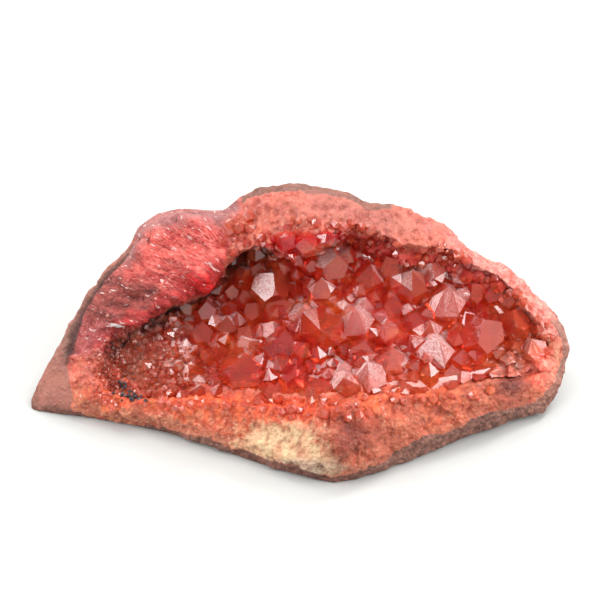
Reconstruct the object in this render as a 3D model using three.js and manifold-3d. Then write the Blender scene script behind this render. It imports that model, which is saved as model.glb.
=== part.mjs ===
// A hand specimen of red quartz: a broken piece of geode wall whose hollow is lined with crystals.
// Millimetres, +Z up. The specimen rests on its flat base, with the origin under its middle.
//
// Its shapes are laid out on the broken face, which leans back from the base: x runs to the right,
// up runs up the slope of the face, and out stands off it. The whole is tipped into place at the end.

import * as THREE from 'three';
import { mergeVertices } from 'three/addons/utils/BufferGeometryUtils.js';
import Module from 'manifold-3d';

const wasm = await Module();
wasm.setup();

// ---- Driving dimensions ----

const FACE_TILT = 50; // degrees between the broken face and the base
const FACE_MIDDLE = [2, 30]; // x, up
const FRONT_TIP_X = 6; // where the face comes furthest forward
const LEFT_REACH = 61; // from the front tip to the left corner
const RIGHT_REACH = 49; // from the front tip to the right corner
const LEFT_SWEEP = 17; // how far the left corner lies behind the front tip
const RIGHT_SWEEP = 17.5;
const FRONT_ROUND = 5; // rounding of the ridge at the front tip
const TOP_SETBACK = 4; // how far the top of the face lies behind its foot
const FACE_HEIGHT = 60;

const WALL_DEPTH = 36; // from the front tip of the face to the outside of the geode wall
const FACE_SWELL = 6; // how far the middle of the face swells out
const HOLLOW_DEPTH = 14; // under the top lip
const FOOT_DEPTH = 5.5; // of the hollow, along its foot
const HOLLOW_REACH = 30; // how far the cutter of the hollow stands out of the face
const UNDERCUT = 4; // how far the hollow runs in under its upper left lip
const CRUST_GAP = 0.35; // between the crystal crust and the rock
const CRUST_BED = 3.6; // thickness of the crust under its crystals
const CRUST_WALL = 1.6; // thickness of the crust along its edge
const RIM_DROP = 3.2; // how far the edge of the crust lies behind the broken face, at half its height
const RIGHT_DROP = 1.3; // the same at the right, where nothing overhangs the hollow
const RIGHT_START = 10; // x at which the drop begins to lessen
const RIGHT_END = 30;
const RIM_SLOPE = 0.13; // how much further behind it lies for each millimetre up the face
const FLOOR_STEEPNESS = 3; // of the sides of the hollow: 2 is a round bowl, more is steeper
const BED_STEEPNESS = 2; // of the sides of the crust

const TERMINATION_SLOPE = 51.8; // degrees, the tilt of a quartz crystal's end faces
const UPWARD_LEAN = 0.7; // how much further than their rows say the larger crystals lean up the slope
const LEAN_END = [41, 50]; // up the face, where that ends under the top lip
const TIP_LIFT = 0.5; // how far up the slope their tips lie from the middles in their rows, in radii
const TIP_RISE = 1.7; // height of a crystal's tip over the bed, in crystal radii
const CRYSTAL_ROOT = 1.5; // how far a crystal runs down into the crust under it
const SMALL_CRYSTALS = 8; // in the spaces between the larger ones
const SMALL_INSET = 1.6; // how far inside the outline of the hollow they stay
const RIM_CRYSTALS = 28; // along the edge of the crust
const RIM_INSET = 1.2;
const RIM_SCATTER = 0.8; // how far they stand off an even row
const SMALL_RADIUS = [1.3, 2.2];
const CRYSTAL_SPACING = 0.68; // of neighbours, as a share of their radii: they grow into each other

const CUTTER = 200; // a block larger than the specimen

// Outline of the broken face: x, up
const FACE_OUTLINE = [
  [-55.6, 14.5], [-54, 19], [-50.5, 25.5], [-47, 31], [-44.3, 37], [-40.5, 41.5], [-35.8, 47],
  [-32.8, 52], [-28.5, 54.7], [-22.5, 55.8], [-16, 55], [-13.5, 56.2], [-11, 58.6], [-7.5, 60],
  [0, 60.3], [6, 59.4], [11, 58], [14, 56.3], [19.5, 56.6], [23.4, 54.6], [28.3, 53], [32, 50],
  [35.7, 46.3], [40.6, 44.2], [45.5, 40.8], [50.4, 36], [53.5, 32.5], [54.8, 27.5], [54.4, 23.6],
  [53.2, 19.5], [51, 14.8], [42, 12], [35.5, 9.8], [29, 7.5], [22.5, 5], [16, 2.6], [11, 0.8],
  [6, 0.2], [0.8, 1.6], [-7.8, 3.8], [-18, 7.4], [-27.5, 10.2], [-37, 12], [-46, 13.2],
];

// Outline of the hollow, saw-toothed where the lip is broken: x, up
const HOLLOW_OUTLINE = [
  [-41.6, 22], [-40.8, 25], [-38, 29.5], [-33.6, 32.6], [-29.4, 33.2], [-27.3, 36.7], [-22.8, 37.4],
  [-20.7, 39.4], [-17.4, 39.8], [-16, 43.3], [-11.9, 46.5], [-5.9, 48], [-3, 46.2], [0, 46],
  [5.7, 49], [8, 51.8], [11, 52], [16.2, 50], [21.5, 47.4], [27.9, 47.4], [33, 45.9], [36, 42.6],
  [41.4, 41.4], [43.5, 38.3], [46.5, 34], [49.4, 31], [51, 27], [49.8, 22.8], [45.5, 20.6],
  [40.5, 21.2], [35, 20.2], [30.3, 18.4], [22.5, 17.6], [15.4, 18.2], [9.2, 16], [0, 15.2],
  [-10.2, 16], [-20.5, 16.8], [-30.7, 17], [-39, 18],
];

// The larger crystals: x and up of the middle of the end, radius, lean along x and up, spin in degrees
// (30 turns a broad end face to the front, 90 a ridge), and how small three of the six end faces are
// (0 makes all six alike, 1 leaves only the other three)
const LARGE_CRYSTALS = [
  // right side
  [37.2, 30.6, 4.8, 0.15, -0.1, 75, 0.6], [26.8, 27.4, 4.5, 0, 0.15, 30, 0.2],
  [29.9, 37.4, 4.3, 0.1, 0, 30, 0.15], [22.6, 41, 3.7, 0, 0, 0, 0],
  [34.9, 38.7, 2.8, 0, -0.1, 80, 1], [38.7, 38.5, 2.2, 0.1, 0.1, 50, 1],
  [42.4, 37.7, 2.4, -0.1, 0.1, 120, 1], [43, 33.2, 3.2, -0.2, 0.2, 100, 0.5],
  [46.9, 27.5, 3, -0.2, 0.1, 70, 1], [36.1, 20.9, 2.2, 0, 0.1, 85, 1],
  [32.6, 21.5, 2.1, 0, 0.2, 85, 1], [24.2, 18.4, 1.9, 0, 0, 90, 1], [30.7, 22.7, 2.4, 0.1, 0.3, 40, 1],
  [26.2, 31.6, 2.6, 0, -0.1, 30, 0], [22.6, 32.6, 3.2, 0, 0.3, 90, 0.6], [22.1, 28.7, 2.4, 0, 0, 80, 1],
  [26.7, 43, 3, 0, 0.1, 100, 0.7], [42.3, 22.6, 2.2, -0.2, 0.5, 80, 1], [32.7, 42.4, 2.2, 0.1, 0.3, 15, 1],
  [33.4, 33.4, 2.4, -0.2, 0.4, 70, 1],
  // middle
  [14.3, 42.4, 3.1, 0.1, 0, 0, 0.1], [7.4, 44.6, 3.6, 0.3, 0, 40, 0.6], [4.3, 39.8, 3, 0, 0, 30, 0.3],
  [2.3, 40.2, 1.9, 0, 0.1, 60, 1], [2.3, 44.3, 1.8, 0, 0, 45, 1], [13.3, 36.1, 2.6, 0.1, -0.1, 60, 0],
  [11, 33.2, 4, 0, -0.1, 32, 0.1], [0.6, 33.8, 3.3, 0, -0.1, 28, 0.2], [4.1, 28.5, 4.7, 0, -0.75, 47, 0],
  [-3.2, 28.4, 4.6, 0, 0, 40, 0.2], [-4.3, 36.5, 3.4, 0, 0.9, 30, 0.7],
  [13.6, 22.4, 4.1, 0, 0, 2, 0], [9.2, 20.8, 3.3, 0, 0, 60, 0.2],
  [18.5, 25.4, 4, 0.3, 0, 350, 0], [17.2, 29.8, 2.8, 0, -0.4, 85, 0.8],
  [13, 27, 3.6, 0.2, 0, 20, 0.5], [-0.6, 23.6, 3.6, 0.1, 0.7, 90, 0.5], [2.9, 18.4, 2, 0, 0.1, 90, 1],
  [14.6, 17.4, 1.7, 0, 0.2, 30, 1], [17.4, 44.9, 2.7, 0, 0.2, 60, 1], [18.8, 36.4, 2.5, 0, 0.5, 30, 1],
  [20.6, 47, 2.1, 0, 0.1, 75, 1], [20.6, 19.6, 2.3, 0, 0.3, 50, 1], [9.7, 38.4, 2, 0.1, 0.2, 80, 1],
  // left side
  [-5.4, 40.4, 4, 0.1, 0, 100, 0.4], [-11.1, 23.8, 4.9, 0.05, 0, 35, 0.3],
  [-10.2, 27.3, 2.9, 0, -0.2, 75, 1], [-10.3, 30.4, 2.5, 0, 0, 110, 1], [-8.8, 35.1, 2.5, 0, 0, 100, 1],
  [-14.8, 32.6, 2.5, 0, 0.2, 60, 0], [-16.6, 29.2, 2.2, 0.1, 0, 20, 0], [-16.2, 26.5, 2.4, 0, 0, 60, 1],
  [-13.7, 39, 1.8, 0, 0, 30, 1], [-11.5, 38, 1.9, 0, 0, 60, 1], [-19.7, 31.2, 2.8, 0, 0.6, 30, 1],
  [-19, 35.3, 2.4, 0, 0.2, 40, 1], [-22.8, 26, 2.9, 0, -0.2, 90, 0.7], [-22.3, 22.1, 3, 0, -0.2, 80, 1],
  [-25.8, 23.4, 3, 0, 0, 5, 0], [-25, 31.6, 2.3, 0, 0.1, 50, 1], [-25.6, 18.9, 2.2, 0, 0, 60, 1],
  [-20.1, 18.7, 2.1, 0, 0, 30, 0], [-16.2, 19.1, 2.1, 0, 0, 30, 0], [-32.4, 19.1, 2.4, 0.1, 0.4, 60, 1],
  [-29.5, 22.5, 2, 0, 0.1, 90, 1], [-28.2, 27.8, 2.2, 0, 0.1, 20, 1], [-6, 19.2, 2.3, 0, 0.4, 50, 1],
  [-8.4, 43.6, 1.8, 0, 0.1, 20, 1], [-5.5, 31.3, 2.6, -0.1, 0.3, 100, 1],
];

// Columns of the broken lip, in three stands: x and up of the first and last roots and tips, how many
const LIP_STANDS = [
  { roots: [[-43, 29], [-37, 39]], tips: [[-36.5, 29.5], [-30.5, 33.5]], count: 5, radius: 1.5 },
  { roots: [[-38, 40], [-32, 47.5]], tips: [[-28.5, 35.5], [-21, 38.6]], count: 6, radius: 1.8 },
  { roots: [[-33.5, 45.5], [-20, 54.5]], tips: [[-20.5, 40.5], [-15.5, 44.5]], count: 7, radius: 1.9 },
];

// Swellings of the face: x, up, radius, height
const SWELLINGS = [
  [-1, 54, 11, 3.4],
  [-24, 48, 11, 3],
  [-38, 33, 9, 1.6],
  [30, 49, 10, 2],
  [50, 34, 8, 1.6],
  [8, 10, 14, 2.4],
  [36, 15, 10, 1.2],
  [-24, 13, 12, 0.8],
];

const BAND_LUMPS = 14; // granular lumps of the front band

// Flats broken off the outside of the wall: place around the edge (0 at the left corner, 0.25 at the
// front, 0.5 at the upper right), place from the edge to the far side (0 to 1), depth of the bite
const FLATS = [
  [0.4, 0.45, 1.2],
  [0.5, 0.5, 1],
  [0.6, 0.4, 1.2],
  [0.7, 0.5, 1.1],
  [0.8, 0.35, 1],
  [0.9, 0.5, 1.3],
  [0.65, 0.75, 0.9],
];

// ---- Helpers ----

const degrees = THREE.MathUtils.degToRad;

// Repeatable random numbers between 0 and 1
function seeded(seed) {
  let state = seed;
  return () => {
    state = (state * 16807) % 2147483647;
    return state / 2147483647;
  };
}

const between = (random, low, high) => low + (high - low) * random();

function solid(geometry) {
  const bare = geometry.clone();
  bare.deleteAttribute('normal');
  bare.deleteAttribute('uv');
  const merged = mergeVertices(bare, 1e-4);
  return new wasm.Manifold(
    new wasm.Mesh({
      numProp: 3,
      vertProperties: new Float32Array(merged.attributes.position.array),
      triVerts: new Uint32Array(merged.index.array),
    }),
  );
}

const join = (solids) => solids.reduce((all, next) => all.add(next));

// The largest of the separate bodies that a cut leaves
function mainBody(cut) {
  return cut.decompose().reduce((best, next) => (next.volume() > best.volume() ? next : best));
}

function meshOf(cut, name, material) {
  const { vertProperties, triVerts, numProp } = cut.getMesh();
  const geometry = new THREE.BufferGeometry();
  const positions = new Float32Array((vertProperties.length / numProp) * 3);
  for (let i = 0; i < positions.length / 3; i += 1) {
    positions.set(vertProperties.subarray(i * numProp, i * numProp + 3), i * 3);
  }
  geometry.setAttribute('position', new THREE.BufferAttribute(positions, 3));
  geometry.setIndex(new THREE.BufferAttribute(new Uint32Array(triVerts), 1));
  const mesh = new THREE.Mesh(geometry, material);
  mesh.name = name;
  return mesh;
}

// A sphere whose points are put elsewhere: place(around, down) takes both from 0 to 1
function warpedSphere(segments, rings, place) {
  const geometry = new THREE.SphereGeometry(1, segments, rings);
  const { position, uv } = geometry.attributes;
  for (let i = 0; i < position.count; i += 1) {
    const ring = Math.round((1 - uv.getY(i)) * rings);
    const isPole = ring === 0 || ring === rings;
    const around = isPole ? 0 : (Math.round(uv.getX(i) * segments) % segments) / segments;
    const at = place(around, ring / rings);
    position.setXYZ(i, at.x, at.y, at.z);
  }
  return solid(geometry);
}

// Evenly spaced points on a closed smooth line through an outline, run anticlockwise
function traced(outline, count, inset = 0) {
  const corners = outline.map(([x, up]) => new THREE.Vector3(x, up, 0)).reverse();
  const curve = new THREE.CatmullRomCurve3(corners, true, 'centripetal');
  const points = curve.getSpacedPoints(count).slice(0, count);
  return points.map((point, i) => {
    const before = points[(i + count - 1) % count];
    const after = points[(i + 1) % count];
    const along = after.clone().sub(before).normalize();
    return new THREE.Vector3(point.x - along.y * inset, point.y + along.x * inset, 0);
  });
}

// ---- Form of the broken face ----

// Share of the way from the middle of the face to an outline: 0 in the middle, 1 on the outline
function reachIn(edge, x, up) {
  const towards = new THREE.Vector2(x - FACE_MIDDLE[0], up - FACE_MIDDLE[1]);
  let reach = 0;
  edge.forEach((point, i) => {
    const next = edge[(i + 1) % edge.length];
    const from = new THREE.Vector2(point.x - FACE_MIDDLE[0], point.y - FACE_MIDDLE[1]);
    const side = new THREE.Vector2(next.x - point.x, next.y - point.y);
    const along = from.cross(towards) / towards.cross(side);
    if (along >= 0 && along <= 1) {
      const crossing = from.addScaledVector(side, along);
      reach = crossing.dot(towards) > 0 ? towards.lengthSq() / crossing.dot(towards) : reach;
    }
  });
  return reach;
}

// How far the edge of the face stands out at a place: it sweeps back to both corners
function edgeOut(x, up) {
  const aside = Math.hypot(x - FRONT_TIP_X, FRONT_ROUND) - FRONT_ROUND;
  const left = Math.min(aside / LEFT_REACH, 1);
  const sweepLeft = LEFT_SWEEP * (1 - (1 - left) ** 1.5);
  const sweepRight = (RIGHT_SWEEP * aside) / RIGHT_REACH;
  return -(x < FRONT_TIP_X ? sweepLeft : sweepRight) - (TOP_SETBACK * up) / FACE_HEIGHT;
}

// Gentle unevenness of a broken surface
function uneven(x, up) {
  const broad = Math.sin(x * 0.43 + up * 0.21 + 1.3) * Math.sin(up * 0.51 - x * 0.17 + 0.4);
  const fine = Math.sin(x * 1.13 - up * 0.67) * Math.sin(up * 1.31 + x * 0.59 + 2.1);
  return 0.55 * broad + 0.35 * fine;
}

function swelling(x, up) {
  return SWELLINGS.reduce((sum, [atX, atUp, radius, height]) => {
    const far = ((x - atX) ** 2 + (up - atUp) ** 2) / radius ** 2;
    return sum + height * Math.exp(-2 * far);
  }, 0);
}

const FACE_SEGMENTS = 60;
const faceEdge = traced(FACE_OUTLINE, FACE_SEGMENTS);

// The outline with its notches smoothed away, which the outside of the wall runs into
const softEdge = faceEdge.map((_, i) => {
  const mean = new THREE.Vector3();
  for (let step = -4; step <= 4; step += 1) {
    mean.addScaledVector(faceEdge[(i + step + FACE_SEGMENTS) % FACE_SEGMENTS], 1 / 9);
  }
  return mean;
});

// How far the broken face stands out at a place, a share of the way from its middle to its edge
function faceOut(x, up, reach = reachIn(faceEdge, x, up)) {
  const lift = Math.sqrt(Math.max(1 - reach * reach, 0));
  const rough = uneven(x, up) + swelling(x, up);
  return edgeOut(x, up) + FACE_SWELL * lift + rough * Math.min(lift * 3, 1);
}

// A point on the outside of the wall: turn runs from 0 at the edge of the face to 1 at the far side
function outsidePoint(around, turn) {
  const i = Math.round(around * FACE_SEGMENTS) % FACE_SEGMENTS;
  const sunk = Math.sin((turn * Math.PI) / 2);
  const rim = faceEdge[i].clone().lerp(softEdge[i], sunk);
  const reach = Math.cos((turn * Math.PI) / 2) ** 0.62;
  const at = new THREE.Vector3(...FACE_MIDDLE, 0).lerp(rim, reach);
  const bumps = 1.6 * uneven(at.x * 0.7 + 9, at.y * 0.7) * sunk;
  at.z = THREE.MathUtils.lerp(edgeOut(rim.x, rim.y), -WALL_DEPTH, sunk) + bumps;
  return at;
}

function wallBody() {
  const rings = 12;
  const edgeRing = 0.5;
  const middle = new THREE.Vector3(...FACE_MIDDLE, 0);
  return warpedSphere(FACE_SEGMENTS, rings, (around, down) => {
    const rim = faceEdge[Math.round(around * FACE_SEGMENTS)];
    if (down <= edgeRing) {
      const reach = (down / edgeRing) ** 0.6;
      const at = middle.clone().lerp(rim, reach);
      at.z = faceOut(at.x, at.y, reach);
      return at;
    }
    return outsidePoint(around, (down - edgeRing) / (1 - edgeRing));
  });
}

// How strongly the hollow is undercut on the side of a rim point: most at the upper left
function undercutAt(rim) {
  const side = new THREE.Vector2(rim.x - FACE_MIDDLE[0], rim.y - FACE_MIDDLE[1]).normalize();
  return UNDERCUT * Math.max(side.dot(new THREE.Vector2(-0.6, 0.8)), 0);
}

// How far the floor of the hollow stands out: shallow along its foot and deep under the top lip
function floorOut(x, up, reach, fill, steepness) {
  const high = THREE.MathUtils.clamp((up - 15) / 35, 0, 1);
  const depth = THREE.MathUtils.lerp(FOOT_DEPTH, HOLLOW_DEPTH, high) - fill;
  return edgeOut(x, up) - depth * Math.sqrt(Math.max(1 - reach ** steepness, 0));
}

// The space of the hollow, run on out of the face so that it cuts clean through. It can be drawn in
// from its sides by an inset and filled up from its floor.
function hollowSpace(inset, fill, steepness, segments = 42, rings = 6) {
  const wallRing = 3;
  const edge = traced(HOLLOW_OUTLINE, segments, inset);
  const middle = new THREE.Vector3(...FACE_MIDDLE, 0);
  return warpedSphere(segments, rings, (around, down) => {
    const rim = edge[Math.round(around * segments)];
    const ring = Math.round(down * rings);
    if (ring <= 1) {
      const at = middle.clone().lerp(rim, ring);
      at.z = HOLLOW_REACH;
      return at;
    }
    if (ring <= wallRing) {
      const at = rim.clone();
      at.z = ring === 2 ? FACE_SWELL : edgeOut(at.x, at.y) + 1;
      return at;
    }
    const turn = ((ring - wallRing) / (rings - wallRing)) * (Math.PI / 2);
    const reach = Math.cos(turn);
    const outward = rim.clone().sub(middle).normalize();
    const at = middle.clone().lerp(rim, reach);
    at.addScaledVector(outward, undercutAt(rim) * Math.sin(2 * turn));
    at.z = floorOut(at.x, at.y, reach, fill, steepness);
    return at;
  });
}

// ---- Crystals ----

// A quartz crystal along +Z with its tip at the origin: a six-sided prism ended by three broad and
// three narrow faces
function quartzCrystal(radius, length, narrowness) {
  const steepness = Math.tan(degrees(TERMINATION_SLOPE));
  const reach = radius + length / steepness;
  const pyramid = (spin, tipLift) => {
    const height = reach * steepness;
    const cone = new THREE.ConeGeometry(reach * 2, height, 3);
    cone.rotateX(Math.PI / 2);
    cone.rotateZ(degrees(spin));
    cone.translate(0, 0, tipLift - height / 2);
    return solid(cone);
  };
  const prism = new THREE.CylinderGeometry(radius, radius * 1.08, length, 6);
  prism.rotateX(Math.PI / 2);
  prism.translate(0, 0, -length / 2);
  const broad = solid(prism).intersect(pyramid(30, 0));
  return narrowness < 1 ? broad.intersect(pyramid(90, radius * narrowness)) : broad;
}

const hollowEdge = traced(HOLLOW_OUTLINE, FACE_SEGMENTS);

// How far the edge of the crust stands out: level with the foot of the face, and deep under the lip
function rimOut(x, up) {
  const right = THREE.MathUtils.smoothstep(x, RIGHT_START, RIGHT_END);
  const drop = THREE.MathUtils.lerp(RIM_DROP, RIGHT_DROP, right);
  return edgeOut(x, up) - drop - RIM_SLOPE * (up - FACE_HEIGHT / 2);
}

function bedOut(x, up) {
  const reach = Math.min(reachIn(hollowEdge, x, up), 1);
  const floor = floorOut(x, up, reach, CRUST_BED, BED_STEEPNESS);
  return Math.min(floor, rimOut(x, up));
}

function placedCrystal(x, up, radius, leanX, leanUp, spin, narrowness) {
  const axis = new THREE.Vector3(leanX, leanUp, 1).normalize();
  const rise = radius * TIP_RISE * axis.z;
  const grown = quartzCrystal(radius, rise / axis.z + CRYSTAL_ROOT, narrowness);
  const turn = new THREE.Quaternion().setFromUnitVectors(new THREE.Vector3(0, 0, 1), axis);
  turn.multiply(new THREE.Quaternion().setFromAxisAngle(new THREE.Vector3(0, 0, 1), degrees(spin)));
  const tip = new THREE.Vector3(x, up, bedOut(x, up) + rise);
  const matrix = new THREE.Matrix4().compose(tip, turn, new THREE.Vector3(1, 1, 1));
  return grown.transform(matrix.toArray());
}

function largeCrystals() {
  return LARGE_CRYSTALS.map(([x, up, radius, leanX, leanUp, ...end]) => {
    const free = 1 - THREE.MathUtils.smoothstep(up, ...LEAN_END);
    const tipUp = up + radius * TIP_LIFT * free;
    return placedCrystal(x, tipUp, radius, leanX, leanUp + UPWARD_LEAN * free, ...end);
  });
}

// Small crystals in the spaces that the larger ones leave
function smallCrystals() {
  const random = seeded(7);
  const taken = LARGE_CRYSTALS.map(([x, up, radius]) => [x, up, radius]);
  const rim = traced(HOLLOW_OUTLINE, FACE_SEGMENTS, SMALL_INSET);
  const across = HOLLOW_OUTLINE.map(([x]) => x);
  const along = HOLLOW_OUTLINE.map(([, up]) => up);
  const grown = [];
  for (let tries = 0; tries < 6000 && grown.length < SMALL_CRYSTALS; tries += 1) {
    const x = between(random, Math.min(...across), Math.max(...across));
    const up = between(random, Math.min(...along), Math.max(...along));
    const radius = between(random, ...SMALL_RADIUS);
    const free = taken.every(
      ([atX, atUp, size]) => Math.hypot(x - atX, up - atUp) > (size + radius) * CRYSTAL_SPACING,
    );
    if (free && insideOutline(rim, x, up)) {
      taken.push([x, up, radius]);
      const lean = [between(random, -0.4, 0.4), between(random, -0.3, 0.5)];
      const spin = between(random, 0, 120);
      grown.push(placedCrystal(x, up, radius, ...lean, spin, 1));
    }
  }
  return grown;
}

// A row of crystals along the edge of the crust, leaning in over the hollow
function rimCrystals() {
  const random = seeded(3);
  const rim = traced(HOLLOW_OUTLINE, RIM_CRYSTALS, RIM_INSET);
  return rim.map((point) => {
    const x = point.x + between(random, -RIM_SCATTER, RIM_SCATTER);
    const up = point.y + between(random, -RIM_SCATTER, RIM_SCATTER);
    const inward = new THREE.Vector2(FACE_MIDDLE[0] - x, FACE_MIDDLE[1] - up).normalize();
    const lean = between(random, 0, 0.6);
    const radius = between(random, ...SMALL_RADIUS);
    const spin = between(random, 0, 120);
    const leans = [inward.x * lean + between(random, -0.2, 0.2), inward.y * lean + 0.2];
    return placedCrystal(x, up, radius, ...leans, spin, 1);
  });
}

function insideOutline(rim, x, up) {
  let inside = false;
  rim.forEach((a, i) => {
    const b = rim[(i + 1) % rim.length];
    const crosses = a.y > up !== b.y > up;
    if (crosses && x < ((b.x - a.x) * (up - a.y)) / (b.y - a.y) + a.x) {
      inside = !inside;
    }
  });
  return inside;
}

// ---- Lip columns, band lumps and broken flats ----

// A six-sided column lying in the face, from its root to its blunt tip
function lipColumn(root, tip, radius) {
  const from = new THREE.Vector3(...root, faceOut(...root) - radius * 0.45);
  const to = new THREE.Vector3(...tip, faceOut(...tip) - radius * 0.1);
  const along = to.clone().sub(from);
  const column = new THREE.CylinderGeometry(radius * 0.8, radius, along.length(), 6);
  const turn = new THREE.Quaternion().setFromUnitVectors(
    new THREE.Vector3(0, 1, 0),
    along.clone().normalize(),
  );
  column.applyQuaternion(turn);
  const middle = from.clone().lerp(to, 0.5);
  column.translate(middle.x, middle.y, middle.z);
  return solid(column);
}

function lipColumns() {
  const random = seeded(19);
  const mix = ([a, b], share) => [
    THREE.MathUtils.lerp(a[0], b[0], share),
    THREE.MathUtils.lerp(a[1], b[1], share),
  ];
  return LIP_STANDS.flatMap(({ roots, tips, count, radius }) =>
    Array.from({ length: count }, (_, i) => {
      const share = i / (count - 1);
      return lipColumn(mix(roots, share), mix(tips, share), radius * between(random, 0.85, 1.15));
    }),
  );
}

function bandLumps() {
  const random = seeded(23);
  return Array.from({ length: BAND_LUMPS }, () => {
    const x = between(random, -38, 46);
    const foot = x > FRONT_TIP_X ? 0.29 * (x - FRONT_TIP_X) : 0.26 * (FRONT_TIP_X - x);
    const up = Math.min(foot + between(random, 3.5, 12), 16.5);
    const radius = between(random, 1.1, 2.3);
    const lump = new THREE.IcosahedronGeometry(radius, 0);
    lump.rotateX(between(random, 0, 6));
    lump.rotateY(between(random, 0, 6));
    lump.translate(x, up, faceOut(x, up) - radius * 0.15);
    return solid(lump);
  });
}

// The way the outside of the wall faces at a place
function outsideNormal(around, turn) {
  const step = 2 / FACE_SEGMENTS;
  const along = outsidePoint(around + step, turn).sub(outsidePoint(around + 1 - step, turn));
  const down = outsidePoint(around, turn + 0.1).sub(outsidePoint(around, turn - 0.1));
  return down.cross(along).normalize();
}

// Blocks whose near faces break flats off the rounded outside of the wall
function brokenFlats() {
  return FLATS.map(([around, turn, bite]) => {
    const at = outsidePoint(around, turn);
    const block = new THREE.BoxGeometry(60, 60, 30);
    block.translate(0, 0, 15 - bite);
    const outward = outsideNormal(around, turn);
    const turned = new THREE.Quaternion().setFromUnitVectors(new THREE.Vector3(0, 0, 1), outward);
    block.applyQuaternion(turned);
    block.translate(at.x, at.y, at.z);
    return solid(block);
  });
}

// ---- Assembly ----

// Everything under the base, in the frame of the face
function underBase() {
  const block = new THREE.BoxGeometry(CUTTER, CUTTER, CUTTER);
  block.translate(0, 0, -CUTTER / 2);
  block.rotateX(-degrees(FACE_TILT));
  return solid(block);
}

const wall = wallBody();
const below = underBase();

const dressed = join([wall, ...lipColumns(), ...bandLumps()]);

function rock() {
  const broken = brokenFlats().reduce((left, block) => left.subtract(block), dressed);
  const hollow = hollowSpace(0, 0, FLOOR_STEEPNESS);
  return mainBody(broken.subtract(hollow).subtract(below));
}

// Where crystals may grow: in the hollow, and over the edge of the rock around it
function crystalSpace(outer) {
  const over = solid(new THREE.BoxGeometry(CUTTER, CUTTER, CUTTER));
  return over.subtract(dressed.translate([0, 0, CRUST_GAP])).subtract(dressed).add(outer);
}

// Everything behind the edge of the crust: a block with a bowed front, leaning back with the face
function behindRim() {
  const half = LEFT_REACH + FRONT_ROUND;
  const steps = 11;
  const profile = new THREE.Shape();
  profile.moveTo(-half, -WALL_DEPTH);
  profile.lineTo(half, -WALL_DEPTH);
  for (let step = 0; step <= steps; step += 1) {
    const x = half - (2 * half * step) / steps;
    profile.lineTo(x, rimOut(x, FACE_HEIGHT / 2));
  }
  const block = new THREE.ExtrudeGeometry(profile, { depth: FACE_HEIGHT, bevelEnabled: false });
  block.rotateX(Math.PI / 2);
  block.translate(0, FACE_HEIGHT / 2, 0);
  block.rotateX(-Math.atan(RIM_SLOPE + TOP_SETBACK / FACE_HEIGHT));
  block.translate(0, FACE_HEIGHT / 2, 0);
  return solid(block);
}

function crust() {
  const outer = hollowSpace(CRUST_GAP, CRUST_GAP * 1.5, FLOOR_STEEPNESS);
  const inner = hollowSpace(CRUST_WALL, CRUST_BED, BED_STEEPNESS, 24);
  const bed = outer.intersect(behindRim()).subtract(inner);
  const crystals = join([...largeCrystals(), ...smallCrystals(), ...rimCrystals()]);
  return mainBody(bed.add(crystals.intersect(crystalSpace(outer))).subtract(below));
}

const rockMaterial = new THREE.MeshStandardMaterial({ color: 0xc9704f, roughness: 0.85, metalness: 0 });
const crystalMaterial = new THREE.MeshStandardMaterial({ color: 0xb3261a, roughness: 0.12, metalness: 0 });

const specimen = new THREE.Group();
specimen.add(meshOf(rock(), 'matrix', rockMaterial));
specimen.add(meshOf(crust(), 'crystal_crust', crystalMaterial));
specimen.children.forEach((piece) => piece.geometry.rotateX(degrees(FACE_TILT)));

// The origin goes under the middle of the specimen, on the base
const box = new THREE.Box3().setFromObject(specimen);
const shift = box.getCenter(new THREE.Vector3()).negate().setZ(-box.min.z);
specimen.children.forEach((piece) => piece.geometry.translate(shift.x, shift.y, shift.z));

export default specimen;
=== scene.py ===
import math
import random
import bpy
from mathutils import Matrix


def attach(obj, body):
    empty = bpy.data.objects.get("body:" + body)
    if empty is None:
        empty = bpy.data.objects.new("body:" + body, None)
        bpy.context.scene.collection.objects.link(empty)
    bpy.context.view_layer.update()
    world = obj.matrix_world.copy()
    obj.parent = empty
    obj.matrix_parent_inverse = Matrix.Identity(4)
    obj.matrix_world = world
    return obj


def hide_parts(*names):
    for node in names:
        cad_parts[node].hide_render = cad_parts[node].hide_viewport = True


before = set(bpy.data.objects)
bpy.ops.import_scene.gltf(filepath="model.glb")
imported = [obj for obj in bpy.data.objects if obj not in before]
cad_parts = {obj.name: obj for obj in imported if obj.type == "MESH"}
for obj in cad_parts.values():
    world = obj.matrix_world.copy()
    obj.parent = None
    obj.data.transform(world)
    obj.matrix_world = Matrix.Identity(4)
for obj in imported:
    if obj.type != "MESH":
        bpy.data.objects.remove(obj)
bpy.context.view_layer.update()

from types import SimpleNamespace

import bmesh
import bpy
import numpy as np
from mathutils import Matrix, Vector, noise
from mathutils.bvhtree import BVHTree
from mathutils.kdtree import KDTree

MM = 0.001  # metres

# ---- The broken face ----
# Shapes are laid out on the broken face of the specimen, in millimetres: x to the right, up the slope of
# the face, and out from it. An oval is given by its middle and its half size, both as x and up.

FACE_TILT = math.radians(50)  # between the face and the base
FACE_ORIGIN = Vector((0.00006, -0.02725, 0))  # the foot of the face at x = 0, in metres
FACE_AXES = Matrix.Rotation(FACE_TILT, 3, "X")
FACE_HEIGHT = 60
TOP_SETBACK = 4  # how far the top of the face lies behind its foot
FRONT_TIP_X = 6  # where the face comes furthest forward
FRONT_ROUND = 5  # rounding of the ridge at the front tip
LEFT_REACH = 61  # from the front tip to the left corner
LEFT_SWEEP = 17  # how far the left corner lies behind the front tip
LEFT_CURVE = 1.5  # how much the face bends on its way there: 1 is straight
RIGHT_REACH = 49
RIGHT_SWEEP = 17.5

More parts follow.
